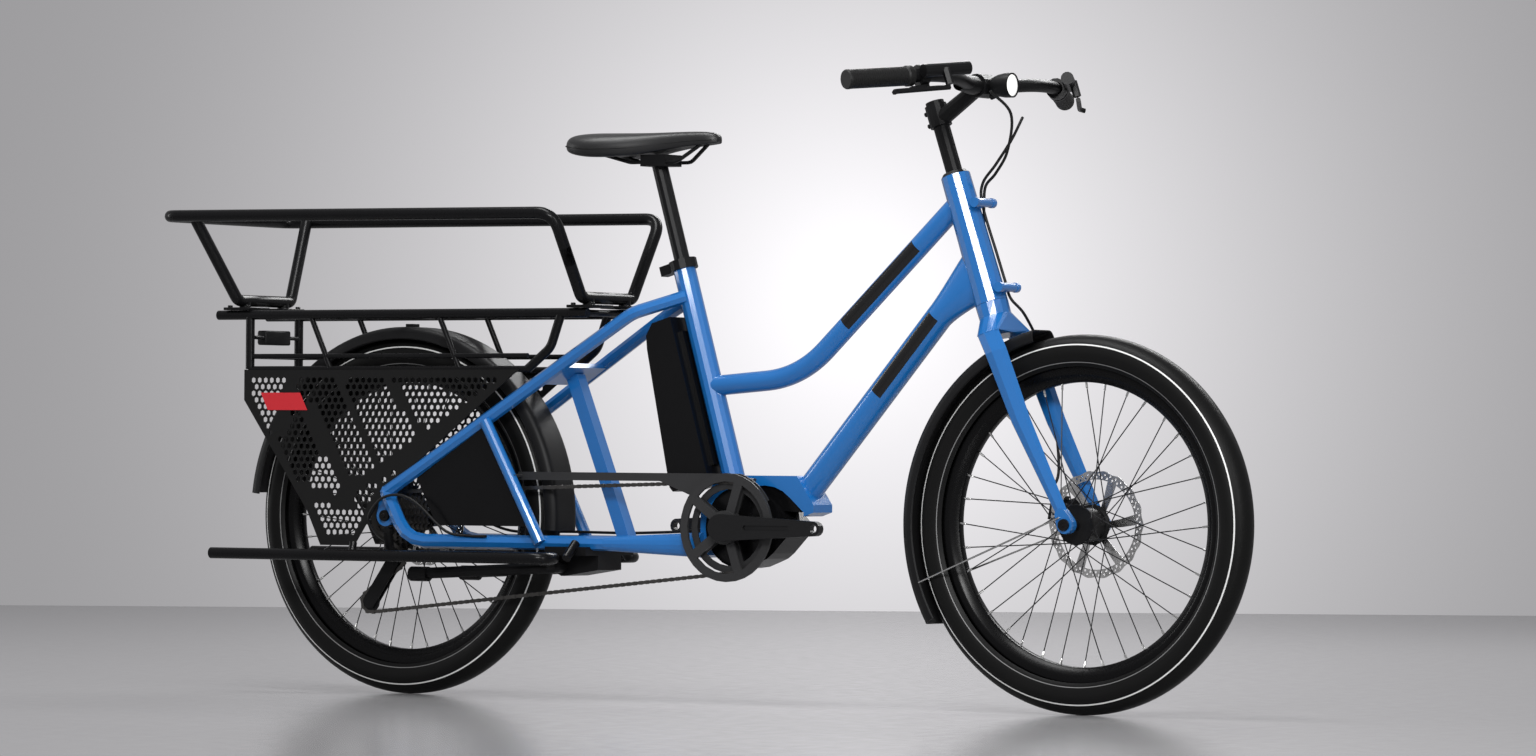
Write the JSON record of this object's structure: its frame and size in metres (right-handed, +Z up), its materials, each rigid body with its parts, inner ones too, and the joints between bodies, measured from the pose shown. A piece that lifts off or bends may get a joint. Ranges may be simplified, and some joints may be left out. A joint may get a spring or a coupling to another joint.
{
  "type": "longtail cargo bike",
  "caption": "Longtail cargo bike with a step-through frame, mid drive, rear rack with passenger rail, side footrests, mudguards and disc brakes.",
  "frame": {"origin": "on the ground, in the middle plane, under the rear axle", "axes": "+X forward to the front wheel, +Y to the rider's left, +Z up"},
  "size_m": [2.1186, 0.7248, 1.0789],
  "materials": {
    "blue_paint": "glossy mid blue paint",
    "black_paint": "satin black paint",
    "black_metal": "black anodised",
    "black_plastic": "moulded black plastic",
    "grey_plastic": "dark grey moulded plastic",
    "tyre_rubber": "black rubber with a pale reflective band on each side",
    "soft_rubber": "smooth black rubber",
    "disc_steel": "ground steel brake disc",
    "drive_steel": "dark oiled steel",
    "saddle_cover": "smooth black synthetic cover",
    "dark_lens": "dark smoked lens"
  },
  "bodies": {
    "frame": {"head_tube": "blue_paint", "headset_cap": "black_metal", "top_tube": "blue_paint", "down_tube": "blue_paint", "seat_tube": "blue_paint", "motor_cradle": "blue_paint", "rear_triangle_right": "blue_paint", "rear_triangle_left": "blue_paint", "mid_brace": "blue_paint", "motor": "black_plastic", "battery": "black_plastic", "chain_guard": "grey_plastic", "chain": "drive_steel", "derailleur": "black_metal", "derailleur_cage": "black_metal", "rear_caliper": "black_metal", "seat_clamp": "black_metal", "rack": "black_paint", "passenger_rail": "black_paint", "wheel_guard_right": "black_paint", "wheel_guard_left": "black_paint", "side_panel_right": "black_plastic", "side_panel_left": "black_plastic", "footrest_right": "black_paint", "footrest_left": "black_paint", "tail_light": "dark_lens", "rear_mudguard": "black_plastic", "stand_bracket": "black_metal", "brake_hose_rear": "soft_rubber", "shift_cable": "soft_rubber"},
    "cranks": {"crank_left": "black_metal", "crank_right": "black_metal", "chainring": "black_metal"},
    "rear_wheel": {"rear_tyre": "tyre_rubber", "rear_rim": "black_paint", "rear_hub": "drive_steel", "rear_rotor": "disc_steel"},
    "cogs": {"cassette": "drive_steel"},
    "steering": {"fork": "blue_paint", "stem": "black_metal", "handlebar": "black_metal", "grip_right": "soft_rubber", "grip_left": "soft_rubber", "brake_mount_right": "black_plastic", "brake_mount_left": "black_plastic", "headlight": "black_plastic", "front_mudguard": "black_plastic", "front_caliper": "black_metal", "brake_hose_front": "soft_rubber"},
    "front_wheel": {"front_tyre": "tyre_rubber", "front_rim": "black_paint", "front_hub": "drive_steel", "front_rotor": "disc_steel"},
    "lever_right": {"brake_lever_right": "black_metal"},
    "lever_left": {"brake_lever_left": "black_metal"},
    "shifter": {"shifter_lever": "black_plastic"},
    "seat": {"seatpost": "black_metal", "saddle_clamp": "black_metal", "saddle": "saddle_cover"},
    "stand": {"kickstand": "black_metal"}
  },
  "joints": [
    {"name": "steering_turn", "type": "hinge", "parent": "frame", "child": "steering", "pos_m": [1.194, 0, 0.68402], "axis": [-0.319, 0, 0.9478], "range_deg": [-55, 55], "deforming": ["brake_hose_front", "brake_hose_rear"]},
    {"name": "front_wheel_spin", "type": "hinge", "parent": "steering", "child": "front_wheel", "pos_m": [1.375, 0, 0.3155], "axis": [0, 1, 0], "continuous": true},
    {"name": "rear_wheel_spin", "type": "hinge", "parent": "frame", "child": "rear_wheel", "pos_m": [0, 0, 0.3155], "axis": [0, 1, 0], "continuous": true},
    {"name": "crank_spin", "type": "hinge", "parent": "frame", "child": "cranks", "pos_m": [0.707, 0, 0.303], "axis": [0, 1, 0], "continuous": true},
    {"name": "cassette_spin", "type": "hinge", "parent": "frame", "child": "cogs", "pos_m": [0, 0, 0.3155], "axis": [0, 1, 0], "continuous": true},
    {"name": "brake_lever_right_pull", "type": "hinge", "parent": "steering", "child": "lever_right", "pos_m": [1.23578, -0.21339, 1.0335], "axis": [-0.4118, 0.2666, -0.8714], "range_deg": [0, 9], "stiffness_Nm_per_rad": 0.8, "springref_deg": -2.86},
    {"name": "brake_lever_left_pull", "type": "hinge", "parent": "steering", "child": "lever_left", "pos_m": [1.23578, 0.21339, 1.0335], "axis": [0.4118, 0.2666, 0.8714], "range_deg": [0, 9], "stiffness_Nm_per_rad": 0.8, "springref_deg": -2.86},
    {"name": "shifter_press", "type": "hinge", "parent": "steering", "child": "shifter", "pos_m": [1.19411, -0.22086, 1.03608], "axis": [-0.319, 0, 0.9478], "range_deg": [0, 20], "stiffness_Nm_per_rad": 0.3},
    {"name": "seatpost_slide", "type": "slide", "parent": "frame", "child": "seat", "axis": [-0.2807, 0, 0.9598], "range_m": [-0.06, 0.05]},
    {"name": "kickstand_turn", "type": "hinge", "parent": "frame", "child": "stand", "pos_m": [0.352, 0, 0.229], "axis": [0, -1, 0], "range_deg": [0, 105]}
  ],
  "couplings": [
    {"joint": "cassette_spin", "follows": "crank_spin", "ratio": 1.75}
  ]
}
